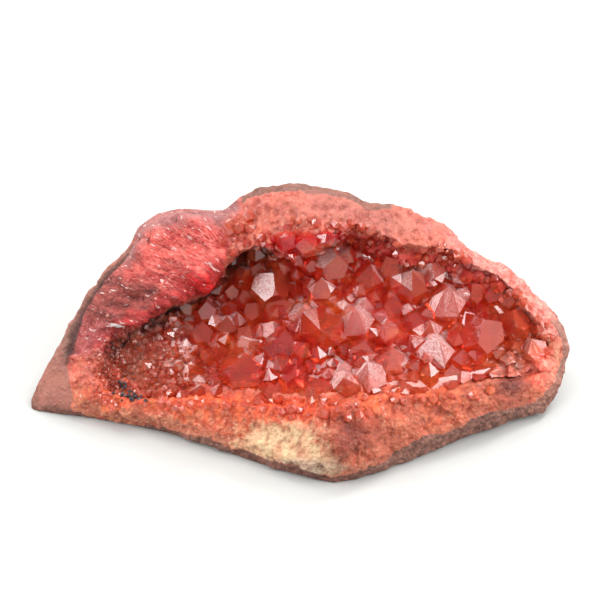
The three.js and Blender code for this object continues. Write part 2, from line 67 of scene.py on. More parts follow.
# Outline of the broken face: x, up
FACE = [
    (-55.6, 14.5), (-54, 19), (-50.5, 25.5), (-47, 31), (-44.3, 37), (-40.5, 41.5), (-35.8, 47),
    (-32.8, 52), (-28.5, 54.7), (-22.5, 55.8), (-16, 55), (-13.5, 56.2), (-11, 58.6), (-7.5, 60),
    (0, 60.3), (6, 59.4), (11, 58), (14, 56.3), (19.5, 56.6), (23.4, 54.6), (28.3, 53), (32, 50),
    (35.7, 46.3), (40.6, 44.2), (45.5, 40.8), (50.4, 36), (53.5, 32.5), (54.8, 27.5), (54.4, 23.6),
    (53.2, 19.5), (51, 14.8), (42, 12), (35.5, 9.8), (29, 7.5), (22.5, 5), (16, 2.6), (11, 0.8),
    (6, 0.2), (0.8, 1.6), (-7.8, 3.8), (-18, 7.4), (-27.5, 10.2), (-37, 12), (-46, 13.2),
]

# Outline of the hollow: x, up
HOLLOW = [
    (-41.6, 22), (-40.8, 25), (-38, 29.5), (-33.6, 32.6), (-29.4, 33.2), (-27.3, 36.7), (-22.8, 37.4),
    (-20.7, 39.4), (-17.4, 39.8), (-16, 43.3), (-11.9, 46.5), (-5.9, 48), (-3, 46.2), (0, 46),
    (5.7, 49), (8, 51.8), (11, 52), (16.2, 50), (21.5, 47.4), (27.9, 47.4), (33, 45.9), (36, 42.6),
    (41.4, 41.4), (43.5, 38.3), (46.5, 34), (49.4, 31), (51, 27), (49.8, 22.8), (45.5, 20.6),
    (40.5, 21.2), (35, 20.2), (30.3, 18.4), (22.5, 17.6), (15.4, 18.2), (9.2, 16), (0, 15.2),
    (-10.2, 16), (-20.5, 16.8), (-30.7, 17), (-39, 18),
]


def from_face(x, up, out):
    return FACE_ORIGIN + FACE_AXES @ (Vector((x, up, out)) * MM)


def to_face(points):
    """World points, in metres, as rows of x, up and out in millimetres."""
    return (points - np.array(FACE_ORIGIN)) @ np.array(FACE_AXES) / MM


def face_direction(x, up, out):
    return FACE_AXES @ Vector((x, up, out)).normalized()


def edge_out(x, up):
    """How far the edge of the face stands out at a place."""
    aside = np.hypot(x - FRONT_TIP_X, FRONT_ROUND) - FRONT_ROUND
    left = np.clip(aside / LEFT_REACH, 0, 1)
    left_sweep = LEFT_SWEEP * (1 - (1 - left) ** LEFT_CURVE)
    sweep = np.where(x < FRONT_TIP_X, left_sweep, RIGHT_SWEEP * aside / RIGHT_REACH)
    return -sweep - TOP_SETBACK * up / FACE_HEIGHT


# ---- Helpers for shares and places ----


def smooth(start, end, value):
    """A share that rises smoothly from 0 at start to 1 at end."""
    share = np.clip((value - start) / (end - start), 0, 1)
    return share * share * (3 - 2 * share)


def noise_at(rows, size, seed=0.0):
    """Smooth noise from about -1 to 1, with features of a size in millimetres."""
    shift = Vector((seed * 17.3, seed * 5.1, seed * 9.7))
    return np.array([noise.noise(Vector(row) / size + shift) for row in rows])


def ridges_at(rows, seed, sharpness):
    """Narrow crests of 1 between wider dips."""
    return 1 - np.abs(noise_at(rows, 1, seed)) * sharpness


def grains_at(rows, size, seed=0.0):
    """Angular grains of a size in millimetres: 1 in the middle of each, falling to 0 between them."""
    shift = Vector((seed * 11.9, seed * 3.7, seed * 7.1))
    values = []
    for row in rows:
        distances, _ = noise.voronoi(Vector(row) / size + shift)
        values.append(min(distances[1] - distances[0], 1))
    return np.array(values)


def in_outline(outline, x, up):
    """Which places lie inside an outline."""
    inside = np.zeros(np.shape(x), dtype=bool)
    for (ax, ay), (bx, by) in zip(outline, outline[1:] + outline[:1]):
        crosses = (ay > up) != (by > up)
        if ay != by:
            inside ^= crosses & (x < (bx - ax) * (up - ay) / (by - ay) + ax)
    return inside


def to_outline(outline, x, up):
    """Distance in millimetres from each place to the nearest side of an outline."""
    nearest = np.full(np.shape(x), 1e9)
    for (ax, ay), (bx, by) in zip(outline, outline[1:] + outline[:1]):
        length = (bx - ax) ** 2 + (by - ay) ** 2
        share = np.clip(((x - ax) * (bx - ax) + (up - ay) * (by - ay)) / length, 0, 1)
        far = np.hypot(x - ax - share * (bx - ax), up - ay - share * (by - ay))
        nearest = np.minimum(nearest, far)
    return nearest


def side_of(x, up, start, end):
    """Distance in millimetres to the right of a line drawn on the face from start to end."""
    along = np.array(end) - np.array(start)
    along = along / np.linalg.norm(along)
    return (x - start[0]) * along[1] - (up - start[1]) * along[0]


def level_at(line, values):
    """The second numbers of a line of pairs, read off at values of the first."""
    pairs = sorted(line)
    return np.interp(values, [first for first, _ in pairs], [second for _, second in pairs])


def oval(x, up, at, radius):
    """1 in the middle of an oval, falling to 0 outside it."""
    far = ((x - at[0]) / radius[0]) ** 2 + ((up - at[1]) / radius[1]) ** 2
    return np.exp(-far * 1.2)


def ovals(x, up, places):
    """The most that any of some ovals covers each place."""
    return np.max([oval(x, up, at, radius) for at, radius in places], axis=0)


# ---- Helpers for meshes ----


def link(data, name):
    piece = bpy.data.objects.new(name, data)
    bpy.context.scene.collection.objects.link(piece)
    return piece


def baked(piece):
    """Applies the piece's modifiers to its mesh."""
    depsgraph = bpy.context.evaluated_depsgraph_get()
    depsgraph.update()
    mesh = bpy.data.meshes.new_from_object(piece.evaluated_get(depsgraph))
    piece.modifiers.clear()
    old = piece.data
    piece.data = mesh
    if old.users == 0:
        bpy.data.meshes.remove(old)
    return piece


def copy_of_node(node, name):
    """A new object with a welded copy of a CAD node's mesh."""
    work = bmesh.new()
    work.from_mesh(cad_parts[node].data)
    bmesh.ops.remove_doubles(work, verts=work.verts, dist=1e-6)
    mesh = bpy.data.meshes.new(name)
    work.to_mesh(mesh)
    work.free()
    return link(mesh, name)


def rows_of(items, name):
    """A value of three numbers that each of a mesh's points or normals has, as rows."""
    rows = np.empty(len(items) * 3)
    items.foreach_get(name, rows)
    return rows.reshape(-1, 3)


def set_vertices(mesh, rows):
    mesh.vertices.foreach_set("co", rows.ravel())
    mesh.update()


def face_means(mesh, values):
    """The mean over each face of a value that its points have."""
    return np.array([np.mean([values[i] for i in face.vertices]) for face in mesh.polygons])


def store(mesh, name, values, domain="POINT"):
    """Keeps one number for each vertex or face, for the material to read."""
    attribute = mesh.attributes.new(name, "FLOAT", domain)
    attribute.data.foreach_set("value", np.asarray(values, dtype=np.float32))


def tree_of(mesh):
    work = bmesh.new()
    work.from_mesh(mesh)
    tree = BVHTree.FromBMesh(work)
    work.free()
    return tree


# ---- Rock: its zones ----

HOLLOW_MIDDLE = (3, 32, -5)  # x, up and out

# The line between the rind and the lip, from its foot to its top: up, x
LIP_BACK = [(18, -45), (25.6, -46.3), (30.7, -44.7), (35, -43), (40.6, -39.1), (45.7, -33.8), (51, -30)]
LIP_BACK_INSET = 1.4  # how far to the left of that line the rind begins
LIP_BACK_SLOPE = 0.76  # turns a distance along x into one across that line
GROOVE_PLACE = -0.1  # across that line, of the dark groove between the rind and the lip
GROOVE_WIDTH = 0.5

# Lines on the lip, from one end to the other: x, up
LIP_RIGHT_END = [(-16, 41), (-11.4, 57)]
LIP_DARK_START = [(-38.5, 43), (-26, 38.6)]
LIP_LOW_START = [(-45, 33.2), (-33, 31.6)]

BAND_TOP = [(-46, 20), (-36, 18.5), (0, 18), (20, 20), (34, 23), (44, 27), (52, 30)]  # x, up

# Width of the strip of rind along the foot: x, width
FOOT_RIND = [
    (-46, 1.2), (-34, 0), (-30, 0.4), (-24, 1.3), (-12, 1.5), (-8, 0.2), (6, 0.3), (12, 1.2), (22, 3),
    (48, 2.6),
]

CRUST_DROP = 3.2  # how far the edge of the crystals lies behind the face, at half its height
CRUST_DROP_LOST = 1.9  # how much less that is at the right
CRUST_SLOPE = 0.13  # how much further behind it lies for each millimetre up the face

# Spots on the wall of the hollow painted nearly black, as painted shade
CAVE_SHADE_SPOTS = [((-9, 46), (5, 3)), ((5, 49), (4, 1.5))]
LOBES = [((-1.6, 47.6), (4, 2)), ((5, 49.6), (4.5, 1.2))]

# Patches of the rock's colour, each of one or two ovals with their strengths
PATCHES = {
    "cream": [((-4, 8.5), (11, 5), 1), ((2, 3.5), (8, 3), 0.8)],
    "mauve": [((9.5, 10.5), (4.5, 6.5), 1), ((42.5, 22.5), (3.8, 7), 1.4)],
    # Painted shade: darker and browner up the slope of the lump
    "upper_slope_shade": [((8, 56.5), (14, 7), 1), ((21, 52), (9, 4), 0.8)],
    "pale_foot": [((0, 3.6), (10, 2.2), 1)],
    "pale_edge": [((50.6, 24.5), (1.6, 5), 1)],
    "red_grain": [((48.5, 23), (4, 5), 1)],
    "columns": [((2, 14), (13, 5), 1)],
    "inner_rim": [((35, 40.6), (4.5, 1.4), 1)],
}


def rock_spots(rows, normals):
    """Where each point of the rock lies, and how far the edges of the zones wander there."""
    x, up, out = rows.T
    axes = np.array(FACE_AXES)
    to_edge = to_outline(FACE, x, up)
    spot = SimpleNamespace(rows=rows, x=x, up=up, out=out)
    spot.wander = noise_at(rows, 7, 1) * 1.3 + noise_at(rows, 2.2, 2) * 0.8
    spot.fine_wander = noise_at(rows, 1.1, 3)
    spot.facing = normals @ axes[:, 2]
    spot.inward = np.sum(normals @ axes * (np.array(HOLLOW_MIDDLE) - rows), axis=1) > 0
    spot.edge = np.where(in_outline(FACE, x, up), to_edge, -to_edge)
    spot.in_hollow = in_outline(HOLLOW, x, up)
    spot.to_hollow = to_outline(HOLLOW, x, up)
    spot.deep = edge_out(x, up) - out
    return spot


def rind_zones(spot):
    """The brown rind: the whole back, and strips of the face behind the lip and along its other edges."""
    x, up, edge, wander = spot.x, spot.up, spot.edge, spot.wander
    front = smooth(-0.35, 0.1, spot.facing + wander * 0.1)
    behind_lip = (level_at(LIP_BACK, up) - LIP_BACK_INSET - x) * LIP_BACK_SLOPE + wander * 0.25
    left = smooth(-0.4, 0.5, behind_lip) * smooth(49.5, 46, up + wander)
    left = np.maximum(left, smooth(-1, 1, behind_lip) * smooth(25, 22, up))
    groove = np.exp(-((behind_lip - GROOVE_PLACE) / GROOVE_WIDTH) ** 2) * smooth(22, 27, up)
    groove = groove * smooth(50, 46, up) * smooth(0.1, 0.4, spot.facing)
    top = smooth(1.6, 0.9, edge + 0.4 * wander) * smooth(-13, -10.5, x) * smooth(21, 16, x)
    right = smooth(2.4, 1.6, edge + 0.6 * wander) * smooth(49.5, 51.5, x) * smooth(35, 31, up)
    above_foot = edge + 0.7 * wander + 0.4 * spot.fine_wander - level_at(FOOT_RIND, x)
    foot = smooth(0.5, -0.3, above_foot) * smooth(22, 17, up)
    rind = np.clip(1 - front + left + top + right + foot, 0, 1)
    rind = np.where(spot.in_hollow & spot.inward, 0, rind)
    return {"rind": rind, "groove": groove, "foot_rind": foot, "top_rind": top}


def rock_zones(spot):
    """How far each point of the rock belongs to each of its kinds of surface, and to its painted shade and
    painted glints, from 0 to 1.
    """
    x, up, wander = spot.x, spot.up, spot.wander
    zones = rind_zones(spot)
    not_rind = 1 - zones["rind"]
    wall = spot.in_hollow * smooth(0.4, 1.6, spot.deep + 0.3 * wander) * spot.inward
    zones["wall"] = wall

    lip_right = side_of(x, up, *LIP_RIGHT_END) + wander * 0.6
    lip = smooth(0.6, -0.6, lip_right) * smooth(24.5, 26.5, up + wander * 0.4) * not_rind
    zones["lip"] = lip * (1 - wall)
    zones["lip_fade"] = lip * smooth(6, 1.5, spot.edge + 0.8 * wander) * smooth(40, 46, up)
    zones["lip_dark"] = lip * smooth(-2.5, 2.5, side_of(x, up, *LIP_DARK_START) + wander)
    zones["lip_low"] = lip * smooth(-0.4, 0.4, side_of(x, up, *LIP_LOW_START) + 0.3 * wander)
    zones["lip_tip"] = lip * smooth(3.2, 0.6, spot.to_hollow + wander * 0.8)
    zones["lip_end"] = zones["lip"] * oval(x, up, (-19.5, 40.2), (5, 2.8))
    # A painted glint: a thin near-white wedge on the lip.
    zones["painted_glint_wedge"] = zones["lip"] * oval(x + 2.2 * (up - 31.7), up, (-37, 31.7), (1.7, 0.65))

    band = smooth(0.8, -0.8, up - level_at(BAND_TOP, x) + wander * 0.6) * not_rind * (1 - wall)
    zones["band"] = band
    zones["band_up"] = band * smooth(4.5, 0.5, spot.to_hollow) * smooth(36, 26, x)
    zones["band_low"] = band * smooth(5.5, 1.0, spot.edge)
    zones["brown"] = np.maximum(oval(x, up, (16.5, 8.5), (7, 6)), 0.6 * smooth(12, 20, x))

    # Painted shade: the wall is painted nearly black under the lip and in the listed spots.
    zones["cave_shade"] = wall * np.maximum(smooth(-5, -11, x) * smooth(24, 28, up), ovals(x, up, CAVE_SHADE_SPOTS))
    drop = CRUST_DROP - CRUST_DROP_LOST * smooth(10, 30, x) + CRUST_SLOPE * (up - FACE_HEIGHT / 2)
    zones["under_crust"] = wall * smooth(-0.7, 1.3, spot.deep - drop)
    zones["open_side"] = smooth(6, 14, x) * smooth(24, 30, up)

    zones["lobes"] = ovals(x, up, LOBES)
    zones["rosy"] = smooth(26, 34, x) * smooth(22, 28, up)
    zones["corner"] = smooth(-42, -47, x) * smooth(26, 22, up)
    for name, parts in PATCHES.items():
        zones[name] = sum(strength * oval(x, up, at, radius) for at, radius, strength in parts)
    return zones


# ---- Rock: its relief ----

VOXEL = 0.00047  # metres
GAP_FILL = 0.4  # how far the wall of the hollow grows in to meet the crystals
FIBRE_FOCUS = (12, 25)  # the place that the fibres of the lip run in to, far beyond their tips
FIBRE_REACH = 38  # from there to the middle of the lip
FLOOR_KEPT = [0.2, 0.9]  # heights over the base, below and above which the relief is none and full


def fibre_places(x, up):
    """Where each point lies across and along the fibres of the lip."""
    far = np.hypot(x - FIBRE_FOCUS[0], up - FIBRE_FOCUS[1])
    angle = np.arctan2(up - FIBRE_FOCUS[1], FIBRE_FOCUS[0] - x)
    return angle * FIBRE_REACH, far


def rock_textures(spot):
    """The patterns that the relief and the painted shade of the crevices are made of, each with its own
    seed.
    """
    rows, out = spot.rows, spot.out
    across, along = fibre_places(spot.x, spot.up)
    texture = SimpleNamespace()
    texture.fibre_rows = np.stack([across * 0.6, along * 0.13, out * 0.2], axis=1)
    texture.fibres = ridges_at(texture.fibre_rows, 5, 2.4)
    texture.fine_fibres = ridges_at(texture.fibre_rows * 2.1, 6, 2.4)
    texture.steps = noise_at(np.stack([across * 0.33, along * 0.16, out * 0.1], axis=1), 1, 7)
    texture.columns = ridges_at(np.stack([spot.x * 0.9, spot.up * 0.22, out * 0.3], axis=1), 11, 2)
    texture.broad = noise_at(rows, 9, 3) * 0.5 + noise_at(rows, 4, 4) * 0.35
    texture.lumps = noise_at(rows, 2.6, 12)
    texture.grit = noise_at(rows, 1.2, 13)
    texture.fine_grit = noise_at(rows, 0.6, 14)
    texture.grains = grains_at(rows, 1.9, 1)
    texture.pits = np.clip(noise_at(rows, 1.7, 8) - 0.2, 0, 1)
    texture.rind_grit = noise_at(rows, 1.3, 9)
    return texture


def rock_relief(spot, zones, texture, granular, over_floor):
    """How far each point of the rock stands out from the plain solid, in millimetres."""
    rind, lip, band, wall, corner = (zones[name] for name in ("rind", "lip", "band", "wall", "corner"))
    relief = texture.broad * (0.8 + 0.5 * rind) * (1 - 0.7 * corner)

    lip_relief = 0.4 * texture.fibres + 0.35 * texture.fine_fibres + 1.2 * np.round(texture.steps * 5) / 5
    lip_relief += 0.6 * (1 - zones["lip_dark"] - zones["lip_low"])
    relief += lip * lip_relief * smooth(0, 3.5, spot.edge)

    relief += granular * (0.45 * texture.lumps + 0.4 * texture.grit + 0.3 * texture.fine_grit)
    relief += granular * (1 - band) * (0.5 * texture.grains - 0.2)

    seam = wall * (1 - zones["under_crust"]) * smooth(5.5, 3.5, spot.deep)
    steep = 1.1 + 1.6 * smooth(24, 20, spot.up)
    relief += seam * (steep * (1 - zones["open_side"]) + 0.7 * spot.deep * zones["open_side"])

    relief += band * oval(spot.x, spot.up, (8, 11), (9, 9)) * texture.columns * 0.7
    relief += rind * (0.3 * texture.rind_grit - 1.0 * texture.pits) * (1 - 0.8 * corner)
    relief -= zones["groove"] * 0.8
    relief *= over_floor * (1 - zones["under_crust"])
    relief += wall * GAP_FILL
    return relief


def shape_rock(mesh):
    """Carves the relief of the rock, and keeps its zones for the material."""
    points = rows_of(mesh.vertices, "co")
    normals = rows_of(mesh.vertex_normals, "vector")
    spot = rock_spots(to_face(points), normals)
    zones = rock_zones(spot)
    texture = rock_textures(spot)
    granular = np.clip(1 - zones["rind"] - zones["lip"], 0, 1)
    over_floor = 1 - smooth(FLOOR_KEPT[1], FLOOR_KEPT[0], points[:, 2] / MM)
    relief = rock_relief(spot, zones, texture, granular, over_floor)
    set_vertices(mesh, points + normals * (relief * MM)[:, None])

    # Masks of painted shade: the crevices of the grit and the fibres, and the low places of the relief.
    low_grit = smooth(0.0, -0.7, 0.5 * texture.lumps + texture.grit + 0.6 * texture.fine_grit)
    low_fibres = smooth(0.1, -0.6, texture.fibres + 0.5 * texture.fine_fibres)
    zones["crevice_shade"] = granular * low_grit + zones["lip"] * low_fibres
    zones["low_relief_shade"] = smooth(0.5, -0.9, relief)
    for name, values in zones.items():
        store(mesh, name, values)
    fibre_map = mesh.attributes.new("fibres", "FLOAT_VECTOR", "POINT")
    fibre_map.data.foreach_set("vector", texture.fibre_rows.astype(np.float32).ravel())


def make_rock():
    rock = copy_of_node("matrix", "matrix_rock")
    remesh = rock.modifiers.new("even", "REMESH")
    remesh.mode = "VOXEL"
    remesh.voxel_size = VOXEL
    soften = rock.modifiers.new("soften", "SMOOTH")
    soften.iterations = 6
    baked(rock)
    shape_rock(rock.data)
    rock.data.shade_smooth()
    rock.data.materials.clear()
    rock.data.materials.append(rock_material())
    return rock


# ---- Crystals: where the small ones stand ----
# Radii are in millimetres. A spacing is the least distance of two crystals, as a share of their radii.

CAST_FROM = 40  # out from the face, where the search for a surface begins
BED_SIZES = [(1.6, 2.3, 2500), (1.0, 1.6, 1300), (0.6, 1.0, 1300)]  # least and largest radius, tries
BED_X = (-42, 51)
BED_UP = (15, 52)
BED_SPACING = 0.7
FOOT_MARGIN = 1.8  # from the crystals of the bed to the outline of the hollow
FOOT_TOP = 25  # up the face, where that margin ends
DRUSE_TRIES = 5000  # for the tiny crystals of the left end
DRUSE_X = (-42, -20)
DRUSE_UP = (15, 34)
ROCK_SPACING = 0.8
ROCK_MARGIN = 2.5  # from the crystals on the rock to the edge of the face
CLUSTER_SPREAD = 0.6  # deviation of a cluster's crystals, as a share of its half size
WALL_TRIES = 6000
WALL_SPACING = 0.75
WALL_START = (-9, 23.5)  # x and up, from where on the wall has crystals
BATCH_SPACING = 2.3

# Clusters of small crystals on the rock: middle and half size on the face, how many, radii
ROCK_CLUSTERS = [
    ((-12.8, 50), (2.0, 4), 11, (0.6, 1.4)),
    ((-2.2, 48.2), (2.6, 0.7), 4, (1.8, 2.6)),
    ((5, 49.4), (2.6, 0.5), 3, (1.4, 1.9)),
    ((-6, 49), (5, 1), 16, (0.5, 1.2)),
    ((4, 51.8), (6, 1), 16, (0.5, 1.1)),
    ((30.6, 45.4), (2.2, 1.4), 26, (0.45, 0.8)),
    ((44.5, 38), (1.6, 2), 10, (0.6, 1.3)),
    ((36, 41.6), (4, 1), 9, (0.9, 1.6)),
    ((49.3, 29.5), (1.4, 3.5), 18, (0.7, 1.6)),
    ((-38.5, 21.5), (3, 5.5), 120, (0.25, 0.55)),
    ((-14, 16), (12, 0.9), 24, (0.4, 1.1)),
    ((3, 15), (8, 1.3), 24, (0.5, 1.3)),
    ((24, 17.4), (9, 0.9), 22, (0.4, 1.1)),
]


def seen_at(tree, x, up):
    """The point, way out and height of a surface at a place on the face."""
    point, normal, _, _ = tree.ray_cast(from_face(x, up, CAST_FROM), face_direction(0, 0, -1))
    if point is None:
        return None, None, None
    return point, normal, to_face(np.array([point]))[0][2]


def is_valley(tree, x, up, out, reach, rise):
    """Whether a place is low between the larger crystals, and not on the side of one."""
    for step in range(12):
        angle = step * math.tau / 12
        near_x = x + math.cos(angle) * reach
        near_up = up + math.sin(angle) * reach
        if not in_outline(HOLLOW, near_x, near_up):
            continue
        _, _, near_out = seen_at(tree, near_x, near_up)
        if near_out is None or out - near_out > rise:
            return False
    return True


def is_apart(places, point, radius, spacing):
    return all((point - at).length > (radius + size) * spacing * MM for at, _, size in places)


def bed_places(tree, dice):
    """Where small crystals stand between the larger ones: point, way out of the surface and radius."""
    places = []
    for low, high, tries in BED_SIZES:
        for _ in range(tries):
            x = dice.uniform(*BED_X)
            up = dice.uniform(*BED_UP)
            radius = dice.uniform(low, high)
            largest = 2.3 - 1.7 * smooth(-20, -34, x)
            if radius > largest or not in_outline(HOLLOW, x, up):
                continue
            if up < FOOT_TOP and to_outline(HOLLOW, x, up) < FOOT_MARGIN:
                continue
            point, normal, out = seen_at(tree, x, up)
            if point is None or not is_valley(tree, x, up, out, 1.5 + 0.5 * radius, 1.2):
                continue
            if is_valley(tree, x, up, out, 4.5, 2.8) and is_apart(places, point, radius, BED_SPACING):
                places.append((point, normal, radius))
    return places


def druse_places(tree, dice, places):
    """The same for the tiny crystals of the left end, clear of those of the bed."""
    places = list(places)
    for _ in range(DRUSE_TRIES):
        x = dice.uniform(*DRUSE_X)
        up = dice.uniform(*DRUSE_UP)
        radius = dice.uniform(0.35, 0.7 + 0.6 * smooth(-37, -30, x))
        if dice.random() > smooth(-21, -30, x) or not in_outline(HOLLOW, x, up):
            continue
        point, normal, _ = seen_at(tree, x, up)
        if point is not None and is_apart(places, point, radius, BED_SPACING):
            places.append((point, normal, radius))
    return places


def rock_places(tree, dice):
    """Where small crystals stand on the rock around the hollow."""
    places = []
    for at, spread, count, radii in ROCK_CLUSTERS:
        made = 0
        for _ in range(count * 6):
            x = dice.gauss(at[0], spread[0] * CLUSTER_SPREAD)
            up = dice.gauss(at[1], spread[1] * CLUSTER_SPREAD)
            radius = dice.uniform(*radii)
            on_face = in_outline(FACE, x, up) and to_outline(FACE, x, up) > ROCK_MARGIN
            if made == count or not on_face:
                continue
            point, normal, _ = seen_at(tree, x, up)
            if is_apart(places, point, radius, ROCK_SPACING):
                places.append((point, normal, radius))
                made += 1
    return places


def wall_places(tree, dice):
    """Where small crystals stand on the wall of the hollow over the crust."""
    places = []
    for _ in range(WALL_TRIES):
        angle = dice.uniform(0, math.tau)
        start_x = dice.uniform(-28, 40)
        start_up = dice.uniform(26, 40)
        start = from_face(start_x, start_up, dice.uniform(-9, 2))
        aim = face_direction(math.cos(angle), math.sin(angle), dice.uniform(-0.2, 0.2))
        point, normal, _, _ = tree.ray_cast(start, aim)
        if point is None or normal.dot(-aim) < 0.3:
            continue
        x, up, _ = to_face(np.array([point]))[0]
        if not in_outline(HOLLOW, x, up) or x < WALL_START[0] or up < WALL_START[1]:
            continue
        radius = dice.uniform(0.6, 1.9 - 0.8 * smooth(42, 45, up))
        if is_apart(places, point, radius, WALL_SPACING):
            places.append((point, normal, radius))
    return places


# ---- Crystals: their shapes ----

TERMINATION_SLOPE = math.radians(51.8)  # of a quartz crystal's end faces
CRYSTAL_LEAN = 0.9  # how much the small crystals turn from the way out of the surface, up and out
CRYSTAL_JITTER = 0.35
CRYSTAL_RISE = (1.1, 1.9)  # height over the surface, in radii
CRYSTAL_ROOT = 0.9  # depth under it, in radii
NARROW_ENDS = (0.0, 0.3)  # how much smaller three of the six end faces are


def quartz_crystal(work, tip, axis, radius, length, spin, narrowness):
    """Adds a closed six-sided crystal with three broad and three narrow end faces to a bmesh."""
    turn = axis.to_track_quat("Z", "Y") @ Matrix.Rotation(spin, 4, "Z").to_quaternion()
    inner = radius * math.cos(math.radians(30))
    broad_low = -inner * math.tan(TERMINATION_SLOPE)
    narrow_low = broad_low * (1 - narrowness)
    angles = [math.radians(60 * i) for i in range(6)]
    ring = [(math.cos(angle) * radius, math.sin(angle) * radius) for angle in angles]
    top = work.verts.new(tip)
    shoulder = []
    for i, (x, y) in enumerate(ring):
        z = broad_low if i % 2 else narrow_low
        shoulder.append(work.verts.new(tip + turn @ Vector((x, y, z))))
    foot = [work.verts.new(tip + turn @ Vector((x, y, -length))) for x, y in ring]
    for i in range(6):
        j = (i + 1) % 6
        work.faces.new((top, shoulder[i], shoulder[j]))
        work.faces.new((shoulder[i], foot[i], foot[j], shoulder[j]))
    work.faces.new(list(reversed(foot)))


def batches_apart(places):
    """Sorts crystals into batches whose members don't touch each other."""
    batches = []
    for place in places:
        point, _, radius = place
        for batch in batches:
            if is_apart(batch, point, radius, BATCH_SPACING):
                batch.append(place)
                break
        else:
            batches.append([place])
    return batches


def crystal_mesh(batch, dice):
    work = bmesh.new()
    for point, normal, radius in batch:
        jitter = Vector([dice.uniform(-CRYSTAL_JITTER, CRYSTAL_JITTER) for _ in range(3)])
        axis = (normal + face_direction(0, 0.5, 0.5) * CRYSTAL_LEAN + jitter).normalized()
        height = radius * dice.uniform(*CRYSTAL_RISE) * MM
        length = height + radius * CRYSTAL_ROOT * MM
        spin = dice.uniform(0, math.tau)
        narrowness = dice.uniform(*NARROW_ENDS)
        quartz_crystal(work, point + axis * height, axis, radius * MM, length, spin, narrowness)
    mesh = bpy.data.meshes.new("batch")
    work.to_mesh(mesh)
    work.free()
    return mesh


def join_crystals(piece, batches, dice):
    for batch in batches:
        other = link(crystal_mesh(batch, dice), "batch")
        union = piece.modifiers.new("join", "BOOLEAN")
        union.operation = "UNION"
        union.solver = "MANIFOLD"
        union.object = other
        baked(piece)
        mesh = other.data
        bpy.data.objects.remove(other)
        bpy.data.meshes.remove(mesh)


# ---- Crystals: their grainy end, frosted ends with painted sheen, and depth ----

GRAINY_ENDS = [((43, 21.5), (4, 7)), ((48.5, 22.5), (4.5, 5))]  # ovals
LONG_EDGE = 0.0007  # metres, over which a grainy edge is cut
FACET_STEP = 0.0002  # metres, by which two parallel facets count as one

# Middles of the large crystals' ends that are frosted grey, partly real etching and partly a painted
# reflection, as x and up, and how far each reaches
FROSTED_SHEEN_ENDS = [
    (22.6, 42.5, 3.2), (29.9, 38.8, 4), (11, 34.6, 3.6), (0.6, 34.8, 3), (26.7, 28.4, 4),
    (14.6, 23.2, 3.2), (19.6, 25.6, 2.8), (8.8, 21.8, 2.6), (7.2, 45.5, 3.4), (4.3, 40.5, 2.8),
    (-6, 41.5, 3.4), (39, 33, 2.6), (5.4, 30, 2.2), (-22.8, 27.9, 2.2), (-15.1, 33.9, 2.2),
    (-10.6, 27.8, 2.2), (-26.2, 24.9, 1.8), (-23, 24.4, 1.8), (-17, 20.1, 1.5), (-20.5, 20.1, 1.5),
    (17.2, 31, 2), (48, 28, 2.4),
]
CLEAR_ENDS = [(36.5, 31, 6.5), (-14, 21.5, 4.5)]  # the same for those that stay clear

RED_LOBES = [((-2.2, 48), (5, 2.4)), ((5, 49.4), (5, 1.6))]  # ovals
# Places where the crystals are painted nearly black, as painted shade
SHADED_HOLES = [((-13.5, 44.3), (4.2, 2.8)), ((-8, 46.4), (4, 1.6))]


def grainy_at(rows):
    x, up, _ = rows.T
    return smooth(0.25, 0.6, ovals(x, up, GRAINY_ENDS))


def roughen(mesh):
    """Makes the crystals of the right end grainy."""
    work = bmesh.new()
    work.from_mesh(mesh)
    for _ in range(2):
        grainy = grainy_at(to_face(np.array([vert.co for vert in work.verts])))
        work.verts.index_update()
        long_edges = [
            edge for edge in work.edges
            if edge.calc_length() > LONG_EDGE and min(grainy[vert.index] for vert in edge.verts) > 0.1
        ]
        bmesh.ops.subdivide_edges(work, edges=long_edges, cuts=2, use_grid_fill=True)
        bmesh.ops.triangulate(work, faces=[face for face in work.faces if len(face.verts) > 4])
    work.to_mesh(mesh)
    work.free()
    points = rows_of(mesh.vertices, "co")
    rows = to_face(points)
    push = (0.35 * noise_at(rows, 1.3, 21) + 0.25 * noise_at(rows, 0.7, 22) - 0.1) * grainy_at(rows)
    set_vertices(mesh, points + rows_of(mesh.vertex_normals, "vector") * (push * MM)[:, None])
    mesh.validate()


def facet_numbers(mesh):
    """A random number for each flat facet, the same on all the faces that it is made of."""
    dice = random.Random(11)
    numbers = {}
    values = []
    for face in mesh.polygons:
        level = face.normal.dot(face.center)
        key = (*(round(part * 40) for part in face.normal), round(level / FACET_STEP))
        values.append(numbers.setdefault(key, dice.random()))
    return np.array(values)


def lowness_of(rows):
    """How low each point lies between the crystals around it, from 0 to 1."""
    tree = KDTree(len(rows))
    for i, row in enumerate(rows):
        tree.insert((row[0], row[1], 0), i)
    tree.balance()
    rises = []
    for row in rows:
        near = tree.find_range((row[0], row[1], 0), 4)
        rises.append(row[2] - min(rows[i][2] for _, i, _ in near))
    return smooth(4.5, 0.5, np.array(rises))


